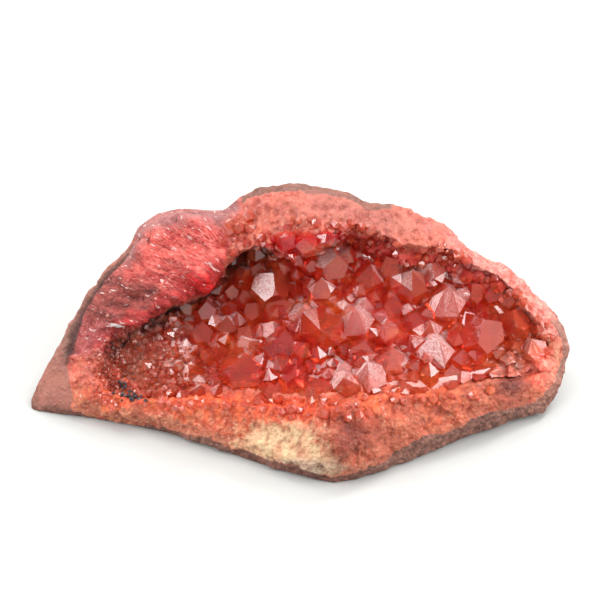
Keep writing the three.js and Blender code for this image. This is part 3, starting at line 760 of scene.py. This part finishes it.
def crystal_zones(rows, paleness):
    """How far each point of the crystals belongs to each of their colours, including painted shade, from 0
    to 1.
    """
    x, up, _ = rows.T
    inside = in_outline(HOLLOW, x, up)
    to_rim = np.where(inside, to_outline(HOLLOW, x, up), 0)
    lobe = smooth(0.25, 0.5, ovals(x, up, RED_LOBES))
    on_rim = paleness * (1 - 0.85 * smooth(0, 1.5, to_rim))
    right_edge = smooth(4.5, 1.0, to_rim) * smooth(15, 24, x) * smooth(22, 27, up)
    # Painted shade: crystals painted nearly black under the lip's overhang and in the listed holes.
    shaded_under_lip = inside * smooth(3.8, 1.2, to_rim) * smooth(-9, -12, x) * smooth(23, 27, up)
    return {
        "lobe": lobe,
        "rim_red": inside * smooth(4.5, 1.5, to_rim) * smooth(4, 10, x) * smooth(25, 29, up),
        "pale": np.maximum(on_rim, 0.3 * right_edge) * (1 - lobe),
        "foot": smooth(3.2, 0.8, to_rim) * smooth(27, 23, up),
        "cave_shade": np.maximum(shaded_under_lip, inside * smooth(0.3, 0.6, ovals(x, up, SHADED_HOLES))),
        "grainy": grainy_at(rows),
        "red_end": smooth(44.5, 47.5, x),
    }


def frosting_and_sheen(x, up, facets, druse):
    """How far each face is frosted grey, partly real etching and partly a painted reflection: the listed
    ends, and some facets chosen by their numbers.
    """
    listed = np.zeros(len(facets))
    for at_x, at_up, reach in FROSTED_SHEEN_ENDS:
        far = np.hypot(x - at_x, up - at_up)
        listed = np.maximum(listed, smooth(1.1, 0.8, far / reach))
    chosen = 0.8 * smooth(0.82 - 0.24 * druse, 1.0, facets)
    frost_and_sheen = np.maximum(chosen, listed * smooth(0.05, 0.3, facets))
    for at_x, at_up, reach in CLEAR_ENDS:
        frost_and_sheen *= smooth(0.8, 1.1, np.hypot(x - at_x, up - at_up) / reach)
    return frost_and_sheen


def store_crystal_zones(mesh, paleness):
    """Keeps the zones, depth and frost of the crystals for the material: the frost is partly real etching
    and partly a painted reflection, and the upward facets get painted shade.
    """
    rows = to_face(rows_of(mesh.vertices, "co"))
    low = lowness_of(rows)
    zones = crystal_zones(rows, paleness)
    store(mesh, "deep", low)
    for name, values in zones.items():
        store(mesh, name, values)

    facets = facet_numbers(mesh)
    middles = to_face(np.array([face.center for face in mesh.polygons]))
    druse = smooth(-19, -29, middles[:, 0])
    # Upward facets that stand clear of their neighbours: painted darker by their facing, and frosted, partly
    # as a painted reflection.
    upward = smooth(0.2, 0.5, np.array([face.normal.z for face in mesh.polygons]))
    plain = face_means(mesh, np.maximum(zones["lobe"], zones["grainy"]))
    cap = upward * smooth(0.85, 0.55, face_means(mesh, low)) * (1 - plain)
    frost_and_sheen = frosting_and_sheen(middles[:, 0], middles[:, 1], facets, druse)
    store(mesh, "facet", facets, "FACE")
    store(mesh, "druse", druse, "FACE")
    store(mesh, "cap", cap, "FACE")
    store(mesh, "frost_and_sheen", cap * frost_and_sheen * (1 - 0.4 * paleness), "FACE")


def finish_crystals(crystals, paleness):
    roughen(crystals.data)
    crystals.data.shade_flat()
    store_crystal_zones(crystals.data, paleness)
    crystals.data.materials.clear()
    crystals.data.materials.append(crystal_material(crystals.name))
    return crystals


def make_crust():
    dice = random.Random(5)
    crystals = copy_of_node("crystal_crust", "quartz_crystals")
    tree = tree_of(crystals.data)
    places = druse_places(tree, dice, bed_places(tree, dice))
    join_crystals(crystals, batches_apart(places), dice)
    return finish_crystals(crystals, 0.0)


def make_rim_crystals(rock):
    dice = random.Random(8)
    tree = tree_of(rock.data)
    places = rock_places(tree, dice) + wall_places(tree, dice)
    batches = batches_apart(places)
    crystals = link(crystal_mesh(batches[0], dice), "rim_crystals")
    join_crystals(crystals, batches[1:], dice)
    return finish_crystals(crystals, 1.0)


# ---- Black grains ----

GRAIN_SEED = 4
GRAIN_RADII = (0.18, 0.42)

# Patches of grains: middle and half size on the face, how many
BLACK_PATCHES = [
    ((-36.2, 19.8), (0.8, 0.7), 9),
    ((-34.4, 17.4), (2.4, 0.8), 34),
]


def make_black_grains(surfaces):
    dice = random.Random(GRAIN_SEED)
    noise.seed_set(GRAIN_SEED)  # of noise_vector, which otherwise differs from run to run
    trees = [tree_of(surface.data) for surface in surfaces]
    work = bmesh.new()
    for at, spread, count in BLACK_PATCHES:
        for _ in range(count):
            x = dice.gauss(at[0], spread[0] * 0.7)
            up = dice.gauss(at[1], spread[1] * 0.7)
            hits = [seen_at(tree, x, up) for tree in trees]
            point, normal, _ = max((hit for hit in hits if hit[0] is not None), key=lambda hit: hit[2])
            radius = dice.uniform(*GRAIN_RADII) * MM
            spin = Matrix.Rotation(dice.uniform(0, math.tau), 4, normal)
            shape = Matrix.Translation(point + normal * radius * 0.8) @ spin
            made = bmesh.ops.create_icosphere(work, subdivisions=1, radius=radius, matrix=shape)
            for vert in made["verts"]:
                vert.co += noise.noise_vector(vert.co * 2500) * radius * 0.5
    mesh = bpy.data.meshes.new("black_grains")
    work.to_mesh(mesh)
    work.free()
    mesh.materials.append(black_material())
    return link(mesh, "black_grains")


# ---- Materials ----

STUDIO_LIGHT = 1.5  # how many times brighter than its own colour the studio makes a surface look


def rgb(red, green, blue):
    """A colour given as it looks in the studio's bright light, from 0 to 255, as linear light."""
    linear = []
    for value in (red, green, blue):
        share = value / 255
        light = share / 12.92 if share <= 0.04045 else ((share + 0.055) / 1.055) ** 2.4
        linear.append(light / STUDIO_LIGHT)
    return (*linear, 1)


class Nodes:
    """A short way to write a material's nodes."""

    def __init__(self, name):
        self.material = bpy.data.materials.new(name)
        self.material.use_nodes = True
        self.tree = self.material.node_tree
        self.shader = self.tree.nodes["Principled BSDF"]
        self.output = self.tree.nodes["Material Output"]

    def put(self, socket, value):
        if isinstance(value, bpy.types.NodeSocket):
            self.tree.links.new(value, socket)
        else:
            socket.default_value = value

    def add(self, kind, inputs, **settings):
        """A node with its settings, and with its inputs by name or number."""
        node = self.tree.nodes.new(kind)
        for key, value in settings.items():
            setattr(node, key, value)
        for key, value in inputs.items():
            self.put(node.inputs[key], value)
        return node

    def set_up(self, **values):
        """Sets inputs of the shader by their names, with _ for a space."""
        for name, value in values.items():
            self.put(self.shader.inputs[name.replace("_", " ")], value)

    def mask(self, name, output="Fac"):
        return self.add("ShaderNodeAttribute", {}, attribute_name=name).outputs[output]

    def place(self):
        return self.add("ShaderNodeTexCoord", {}).outputs["Object"]

    def stretched(self, place, share):
        """A place whose patterns are drawn out up and down the face."""
        inputs = {"Vector": place, "Scale": (1, share, share)}
        return self.add("ShaderNodeMapping", inputs).outputs["Vector"]

    def noise(self, place, scale, detail, roughness=0.6):
        inputs = {"Vector": place, "Scale": scale, "Detail": detail, "Roughness": roughness}
        return self.add("ShaderNodeTexNoise", inputs).outputs["Fac"]

    def cells(self, place, scale):
        return self.add("ShaderNodeTexVoronoi", {"Vector": place, "Scale": scale}).outputs

    def cell_tone(self, cells, channel):
        """A random number for each cell."""
        return self.add("ShaderNodeSeparateColor", {"Color": cells["Color"]}).outputs[channel]

    def ramp(self, value, low, high, to_low=0.0, to_high=1.0):
        inputs = {"Value": value, "From Min": low, "From Max": high, "To Min": to_low, "To Max": to_high}
        return self.add("ShaderNodeMapRange", inputs, clamp=True).outputs["Result"]

    def speckles(self, place, scale, detail, low, high):
        return self.ramp(self.noise(place, scale, detail), low, high)

    def math(self, operation, a, b, clamp=False):
        return self.add("ShaderNodeMath", {0: a, 1: b}, operation=operation, use_clamp=clamp).outputs[0]

    def part(self, share, amount):
        return self.math("MULTIPLY", share, amount)

    def patchy(self, name, texture, softness):
        """A mask whose edge is broken up by a texture."""
        mask = self.mask(name)
        value = self.math("ADD", mask, self.part(self.math("SUBTRACT", texture, 0.5), 1.2))
        inside = self.ramp(value, 0.5 - softness, 0.5 + softness)
        return self.part(inside, self.ramp(mask, 0.0, 0.15))

    def mix(self, share, a, b, blend="MIX"):
        inputs = {"Factor": share, "A": a, "B": b}
        return self.add("ShaderNodeMix", inputs, data_type="RGBA", blend_type=blend).outputs["Result"]

    def layered(self, colour, *layers):
        """A colour with others laid over it in turn, each by a mask or its name, and an amount."""
        for mask, amount, top in layers:
            share = self.mask(mask) if isinstance(mask, str) else mask
            colour = self.mix(share if amount == 1 else self.part(share, amount), colour, top)
        return colour

    def bump(self, height, distance, strength, **onto):
        inputs = {"Height": height, "Distance": distance, "Strength": strength, **onto}
        return self.add("ShaderNodeBump", inputs).outputs["Normal"]


def rock_patterns(m):
    """The patterns that the colours of the rock share."""
    place = m.place()
    fibres = m.mask("fibres", "Vector")
    down = m.stretched(place, 0.3)
    grain = m.cells(place, 1300)
    return SimpleNamespace(
        place=place,
        fibres=fibres,
        grain=grain,
        sparkle=m.ramp(m.cell_tone(grain, "Red"), 0.75, 1.0),
        # Painted glints: sparse near-white specks.
        painted_glitter=m.ramp(m.cell_tone(m.cells(place, 2600), "Green"), 0.93, 0.98),
        texture=m.noise(place, 420, 5),
        mottle=m.speckles(place, 260, 5, 0.36, 0.64),
        patches=m.speckles(place, 120, 4, 0.42, 0.6),
        speckle=m.speckles(place, 900, 3, 0.42, 0.6),
        grit=m.ramp(m.noise(place, 520, 4, 0.7), 0.44, 0.56),
        runs=m.speckles(down, 420, 4, 0.42, 0.58),
        fine_runs=m.speckles(down, 1500, 3, 0.45, 0.55),
        streaks=m.speckles(fibres, 1.6, 4, 0.42, 0.58),
        fine_streaks=m.speckles(fibres, 6, 4, 0.47, 0.56),
        dark_streaks=m.speckles(fibres, 9, 3, 0.55, 0.62),
        # Painted glints: thin near-white streaks along the fibres.
        painted_glints=m.speckles(fibres, 3.4, 2, 0.64, 0.69),
    )


def body_colour(m, p):
    """The salmon quartz of the rim and the lump, darker and browner up its slope as painted shade, with
    painted glints, and deep red at the lobes.
    """
    inner_rim = m.mix(p.mottle, rgb(226, 66, 58), rgb(196, 50, 52))
    return m.layered(
        m.mix(p.mottle, rgb(234, 112, 94), rgb(226, 134, 112)),
        (p.patches, 0.5, rgb(208, 88, 76)),
        (p.grit, 0.45, rgb(250, 176, 152)),
        (p.speckle, 0.3, rgb(206, 84, 72)),
        (p.painted_glitter, 0.4, rgb(255, 226, 216)),
        (p.runs, 0.5, rgb(246, 122, 84)),
        (p.fine_runs, 0.4, rgb(206, 92, 80)),
        ("rosy", 0.45, m.mix(p.grit, rgb(240, 140, 134), rgb(252, 186, 176))),
        ("upper_slope_shade", 0.85, m.mix(p.mottle, rgb(204, 122, 106), rgb(178, 100, 88))),
        (m.patchy("inner_rim", p.texture, 0.3), 0.85, inner_rim),
        (m.patchy("lobes", p.texture, 0.2), 1, m.mix(p.mottle, rgb(196, 20, 26), rgb(150, 14, 26))),
    )


def lip_colour(m, p):
    """The red fibres of the lip, grey at its top, dark down its left side and scarlet at its tip, with
    painted glints and a painted near-white glint wedge.
    """
    grey = m.mix(p.mottle, rgb(190, 124, 118), rgb(152, 96, 96))
    dark = m.mix(p.streaks, rgb(168, 74, 66), rgb(112, 42, 38))
    dark = m.layered(dark, (p.fine_streaks, 0.35, rgb(206, 104, 94)))
    low = m.mix(p.mottle, rgb(204, 92, 90), rgb(164, 66, 66))
    low = m.layered(low, (p.speckle, 0.6, rgb(232, 138, 132)))
    tip = m.mix(p.streaks, rgb(206, 50, 46), rgb(160, 30, 30))
    end = m.mix(p.fine_streaks, rgb(226, 20, 18), rgb(180, 16, 20))
    return m.layered(
        m.mix(p.streaks, rgb(236, 96, 86), rgb(196, 54, 50)),
        (p.fine_streaks, 0.5, rgb(252, 150, 136)),
        (p.dark_streaks, 0.5, rgb(160, 40, 42)),
        (m.patchy("lip_fade", p.texture, 0.45), 0.9, grey),
        (m.patchy("lip_dark", p.texture, 0.4), 1, dark),
        ("lip_low", 1, low),
        (m.patchy("lip_tip", p.texture, 0.4), 0.8, tip),
        (m.patchy("lip_end", p.texture, 0.3), 1, end),
        (p.painted_glints, 0.75, rgb(255, 226, 220)),
        (m.ramp(m.mask("painted_glint_wedge"), 0.45, 0.6), 1, rgb(255, 244, 240)),
    )


def band_colour(m, p):
    """The orange band along the front, glowing at its top, with its cream, brown and mauve patches and
    painted glints.
    """
    tall = m.stretched(p.place, 0.25)
    flames = m.speckles(tall, 520, 3, 0.4, 0.6)
    glowing = m.mix(flames, rgb(236, 54, 30), rgb(250, 124, 72))
    cream = m.mix(flames, rgb(255, 218, 170), rgb(250, 188, 146))
    pale = m.mix(p.grit, rgb(150, 118, 100), rgb(226, 196, 172))
    mauve = m.mix(m.speckles(tall, 420, 2, 0.35, 0.65), rgb(164, 76, 58), rgb(116, 52, 44))
    red_grain = m.mix(p.speckle, rgb(226, 76, 58), rgb(240, 132, 104))
    return m.layered(
        m.mix(p.mottle, rgb(244, 108, 62), rgb(214, 90, 62)),
        (m.patchy("band_low", p.texture, 0.3), 0.55, rgb(240, 170, 138)),
        (p.patches, 0.45, rgb(176, 86, 70)),
        (p.grit, 0.45, rgb(250, 170, 126)),
        (p.speckle, 0.3, rgb(180, 66, 50)),
        (p.painted_glitter, 0.4, rgb(255, 226, 204)),
        (m.patchy("band_up", flames, 0.35), 0.8, glowing),
        ("columns", flames, rgb(244, 84, 40)),
        (m.patchy("cream", p.texture, 0.2), 1, cream),
        (m.patchy("brown", p.texture, 0.35), 0.7, rgb(184, 96, 72)),
        (m.patchy("pale_foot", p.texture, 0.25), 0.8, pale),
        (m.math("MINIMUM", m.mask("mauve"), 1.0), 1, mauve),
        (m.patchy("red_grain", p.texture, 0.2), 1, red_grain),
    )


def rind_colour(m, p):
    """The brown rind, plainer at the left corner and darker at the foot and the top."""
    return m.layered(
        m.mix(p.mottle, rgb(178, 116, 102), rgb(146, 98, 86)),
        (p.patches, 0.6, rgb(124, 92, 82)),
        (p.speckle, 0.4, rgb(208, 152, 134)),
        ("corner", 0.75, m.mix(p.mottle, rgb(186, 120, 104), rgb(170, 104, 92))),
        ("foot_rind", 0.7, m.mix(p.speckle, rgb(104, 70, 60), rgb(156, 108, 92))),
        ("top_rind", 0.7, m.mix(p.mottle, rgb(156, 102, 88), rgb(120, 82, 72))),
    )


def wall_colour(m, p):
    """The wall of the hollow: brighter where it is open, partly as painted light against the shade of the
    recess; nearly black in its caves as painted shade; pale under the crust, partly as a painted glow seen
    through the crystals.
    """
    # Brighter and redder on the open side, partly as painted light against the shade of the recess.
    open_wall = m.mix(p.patches, rgb(252, 92, 76), rgb(236, 58, 54))
    open_wall = m.layered(open_wall, (p.speckle, 0.4, rgb(255, 140, 120)))
    return m.layered(
        m.mix(p.patches, rgb(232, 96, 74), rgb(196, 56, 50)),
        (p.speckle, 0.4, rgb(240, 120, 84)),
        ("open_side", 1, open_wall),
        ("cave_shade", 1, m.mix(p.speckle, rgb(44, 20, 18), rgb(80, 36, 28))),
        # Pale under the crust, partly as a painted glow seen through the crystals.
        ("under_crust", 1, m.mix(p.patches, (0.9, 0.62, 0.42, 1), (0.85, 0.45, 0.3, 1))),
    )


def rock_material():
    m = Nodes("banded_quartz_rock")
    p = rock_patterns(m)
    colour = m.layered(
        body_colour(m, p),
        (m.patchy("band", p.texture, 0.12), 1, band_colour(m, p)),
        ("lip", 1, lip_colour(m, p)),
        (m.patchy("rind", p.texture, 0.12), 1, rind_colour(m, p)),
        ("groove", 0.95, rgb(74, 50, 46)),
        ("pale_edge", 0.7, m.mix(p.grit, rgb(238, 150, 126), rgb(252, 190, 162))),
        ("wall", 1, wall_colour(m, p)),
    )
    # Painted shade: darker in the low places of the relief and in the crevices.
    colour = m.mix(m.part(m.mask("low_relief_shade"), 0.35), colour, (0.5, 0.32, 0.3, 1), "MULTIPLY")
    colour = m.mix(m.part(m.mask("crevice_shade"), 0.6), colour, (0.62, 0.36, 0.34, 1), "MULTIPLY")
    height = m.math("ADD", p.grain["Distance"], m.part(m.noise(p.place, 1500, 4), 0.7))
    streak_height = m.part(m.noise(p.fibres, 3.0, 4), m.mask("lip"))
    rough = m.ramp(p.sparkle, 0, 1, 0.6, 0.18)
    m.set_up(
        Base_Color=colour,
        Roughness=m.math("ADD", rough, m.part(m.mask("rind"), 0.3), clamp=True),
        Specular_IOR_Level=0.35,
        Subsurface_Weight=0.18,
        Subsurface_Radius=(0.9, 0.3, 0.2),
        Subsurface_Scale=0.0015,
        Normal=m.bump(streak_height, 0.0012, 0.7, Normal=m.bump(height, 0.0005, 0.7)),
    )
    return m.material


QUARTZ_IOR = 1.54
QUARTZ_CLEAR = 0.85  # how much of the light a clean face lets in
QUARTZ_TINT = (0.97, 0.35, 0.1, 1)  # of the light that has gone through
QUARTZ_DENSITY = 48
LESS_CLEAR = {"foot": 0.12, "pale": 0.12, "rim_red": 0.08, "grainy": 0.6, "cave_shade": 0.6}


def crystal_material(name):
    """Clear red quartz with frosted, greyer end faces that are partly a painted reflection, upward facets
    darker as painted shade, a painted orange glow where it is deep, and painted shade under the lip.
    """
    m = Nodes(name + "_glass")
    place = m.place()
    facet = m.mask("facet")
    # Grey frost on upward facets: partly real etching, partly a painted reflection of the light from above.
    frost_and_sheen = m.mask("frost_and_sheen")
    etch = m.noise(place, 2200, 5, 0.75)
    frost_sheen_tone = m.math("ADD", facet, m.part(m.math("SUBTRACT", etch, 0.5), 4.0))
    frosted_sheen_colour = m.mix(m.ramp(frost_sheen_tone, 0.3, 1.1), (0.42, 0.17, 0.16, 1), (0.82, 0.68, 0.66, 1))
    # Painted glow: orange where the crystals lie low between their neighbours.
    painted_glow = m.part(m.mask("deep"), m.speckles(place, 110, 2, 0.3, 0.5))
    # Painted shade: upward facets that stand clear are made darker red by their facing.
    cap = m.part(m.mask("cap"), m.ramp(m.mask("druse"), 0, 1, 0.45, 0.15))
    grit = m.speckles(place, 600, 4, 0.4, 0.6)
    grains = m.mix(grit, (0.17, 0.04, 0.03, 1), (0.48, 0.08, 0.045, 1))
    red_grains = m.mix(grit, (0.62, 0.08, 0.05, 1), (0.85, 0.2, 0.13, 1))
    colour = m.layered(
        m.mix(facet, (1.0, 0.17, 0.06, 1), (0.8, 0.05, 0.05, 1)),
        (m.speckles(place, 75, 2, 0.42, 0.58), 0.5, (1.0, 0.3, 0.07, 1)),
        (painted_glow, 1, (1.0, 0.3, 0.06, 1)),
        (cap, 1, (0.5, 0.055, 0.07, 1)),
        ("druse", 0.55, (1.0, 0.38, 0.3, 1)),
        (frost_and_sheen, 0.85, frosted_sheen_colour),
        ("pale", 0.22, (0.95, 0.36, 0.3, 1)),
        ("foot", 0.5, (0.7, 0.09, 0.035, 1)),
        ("rim_red", 0.3, (1.0, 0.1, 0.08, 1)),
        ("lobe", 1, (0.95, 0.025, 0.03, 1)),
        ("grainy", 0.85, m.mix(m.mask("red_end"), grains, red_grains)),
        ("cave_shade", 0.9, (0.05, 0.014, 0.012, 1)),
    )
    clear = m.math("SUBTRACT", QUARTZ_CLEAR, m.part(frost_and_sheen, 0.5))
    for mask, share in LESS_CLEAR.items():
        clear = m.math("SUBTRACT", clear, m.part(m.mask(mask), share))
    rough = m.math("ADD", m.part(m.mask("grainy"), 0.5), m.part(m.mask("foot"), 0.15))
    m.set_up(
        Base_Color=colour,
        Transmission_Weight=m.math("SUBTRACT", clear, m.part(painted_glow, 0.3), clamp=True),
        IOR=QUARTZ_IOR,
        Specular_IOR_Level=0.5,
        Roughness=m.math("ADD", rough, m.ramp(frost_and_sheen, 0, 1, 0.02, 0.17), clamp=True),
        Normal=m.bump(m.part(etch, m.ramp(frost_and_sheen, 0, 0.5, 0.1, 1)), 0.0002, 0.5),
        Coat_Weight=0.25,
        Coat_Roughness=0.02,
        Coat_IOR=1.6,
    )
    inside = m.add("ShaderNodeVolumeAbsorption", {"Color": QUARTZ_TINT, "Density": QUARTZ_DENSITY})
    m.put(m.output.inputs["Volume"], inside.outputs["Volume"])
    return m.material


def black_material():
    m = Nodes("black_metallic_grain")
    tone = m.speckles(m.place(), 2200, 3, 0.35, 0.65)
    colour = m.mix(tone, (0.03, 0.03, 0.035, 1), (0.12, 0.11, 0.12, 1))
    m.set_up(Base_Color=colour, Metallic=0.6, Roughness=m.ramp(tone, 0, 1, 0.25, 0.5))
    return m.material


def floor_material():
    m = Nodes("pale_floor")
    tone = m.speckles(m.place(), 6, 2, 0.3, 0.7)
    m.set_up(Base_Color=m.mix(tone, (0.4, 0.402, 0.39, 1), (0.41, 0.412, 0.4, 1)), Roughness=0.7)
    return m.material


# ---- Stage, lights and camera ----
# Places and sizes are in metres, and powers in watts.

FLOOR_HALF = 3.0
WORLD_STRENGTH = 0.5
LIGHTS_AIM = (0, 0, 0.02)

# Area lights: place, width, height, power
LIGHTS = {
    "top": ((0.0, 0.05, 0.7), 0.7, 0.6, 5.0),
    "back_panel": ((0.0, 0.6, 0.3), 1.0, 0.5, 3.4),
    "right_panel": ((0.55, -0.15, 0.35), 0.4, 0.35, 4.7),
    "key": ((0.35, 0.35, 0.6), 0.16, 0.16, 2.4),
    "left_panel": ((-0.6, -0.1, 0.3), 0.4, 0.35, 4.1),
    "front_panel": ((0.1, -0.9, 0.3), 0.9, 0.35, 1),
    "high_left_spot": ((-0.35, 0.3, 0.6), 0.1, 0.1, 0.5),
    "high_front_spot": ((0.3, -0.3, 0.7), 0.1, 0.1, 0.5),
}

CAMERA_ELEVATION = math.radians(40)
CAMERA_DISTANCE = 1.1
CAMERA_AIM = (0, 36.9, -4)  # x, up and out on the face, in millimetres
CAMERA_SENSOR = 36  # millimetres
PICTURE_WIDTH = 0.1205  # of what the picture shows at the face


def make_floor():
    mesh = bpy.data.meshes.new("floor")
    corners = [(x * FLOOR_HALF, y * FLOOR_HALF, 0) for x, y in ((-1, -1), (1, -1), (1, 1), (-1, 1))]
    mesh.from_pydata(corners, [], [(0, 1, 2, 3)])
    floor = link(mesh, "floor")
    mesh.materials.append(floor_material())


def make_lights():
    """A white studio box, open towards the camera."""
    world = bpy.data.worlds.new("studio")
    world.use_nodes = True
    background = world.node_tree.nodes["Background"]
    background.inputs["Color"].default_value = (1, 1, 1, 1)
    background.inputs["Strength"].default_value = WORLD_STRENGTH
    bpy.context.scene.world = world
    for name, (place, width, height, power) in LIGHTS.items():
        light = bpy.data.lights.new(name, "AREA")
        light.shape = "RECTANGLE"
        light.size = width
        light.size_y = height
        light.energy = power
        lamp = link(light, name)
        lamp.location = place
        lamp.rotation_mode = "QUATERNION"
        lamp.rotation_quaternion = (Vector(LIGHTS_AIM) - Vector(place)).to_track_quat("-Z", "Y")


def make_camera():
    camera = bpy.data.cameras.new("camera")
    camera.sensor_width = CAMERA_SENSOR
    camera.lens = camera.sensor_width * CAMERA_DISTANCE / PICTURE_WIDTH
    eye = link(camera, "camera")
    back = Vector((0, -math.cos(CAMERA_ELEVATION), math.sin(CAMERA_ELEVATION)))
    eye.location = from_face(*CAMERA_AIM) + back * CAMERA_DISTANCE
    eye.rotation_mode = "QUATERNION"
    eye.rotation_quaternion = (-back).to_track_quat("-Z", "Y")
    bpy.context.scene.camera = eye


# ---- The specimen ----

rock = make_rock()
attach(rock, "root")
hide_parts("matrix")

crust = make_crust()
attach(crust, "root")
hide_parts("crystal_crust")

rim_crystals = make_rim_crystals(rock)
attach(rim_crystals, "root")

black_grains = make_black_grains([rock, crust, rim_crystals])
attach(black_grains, "root")

make_floor()
make_lights()
make_camera()
bpy.context.scene.view_settings.view_transform = "Standard"
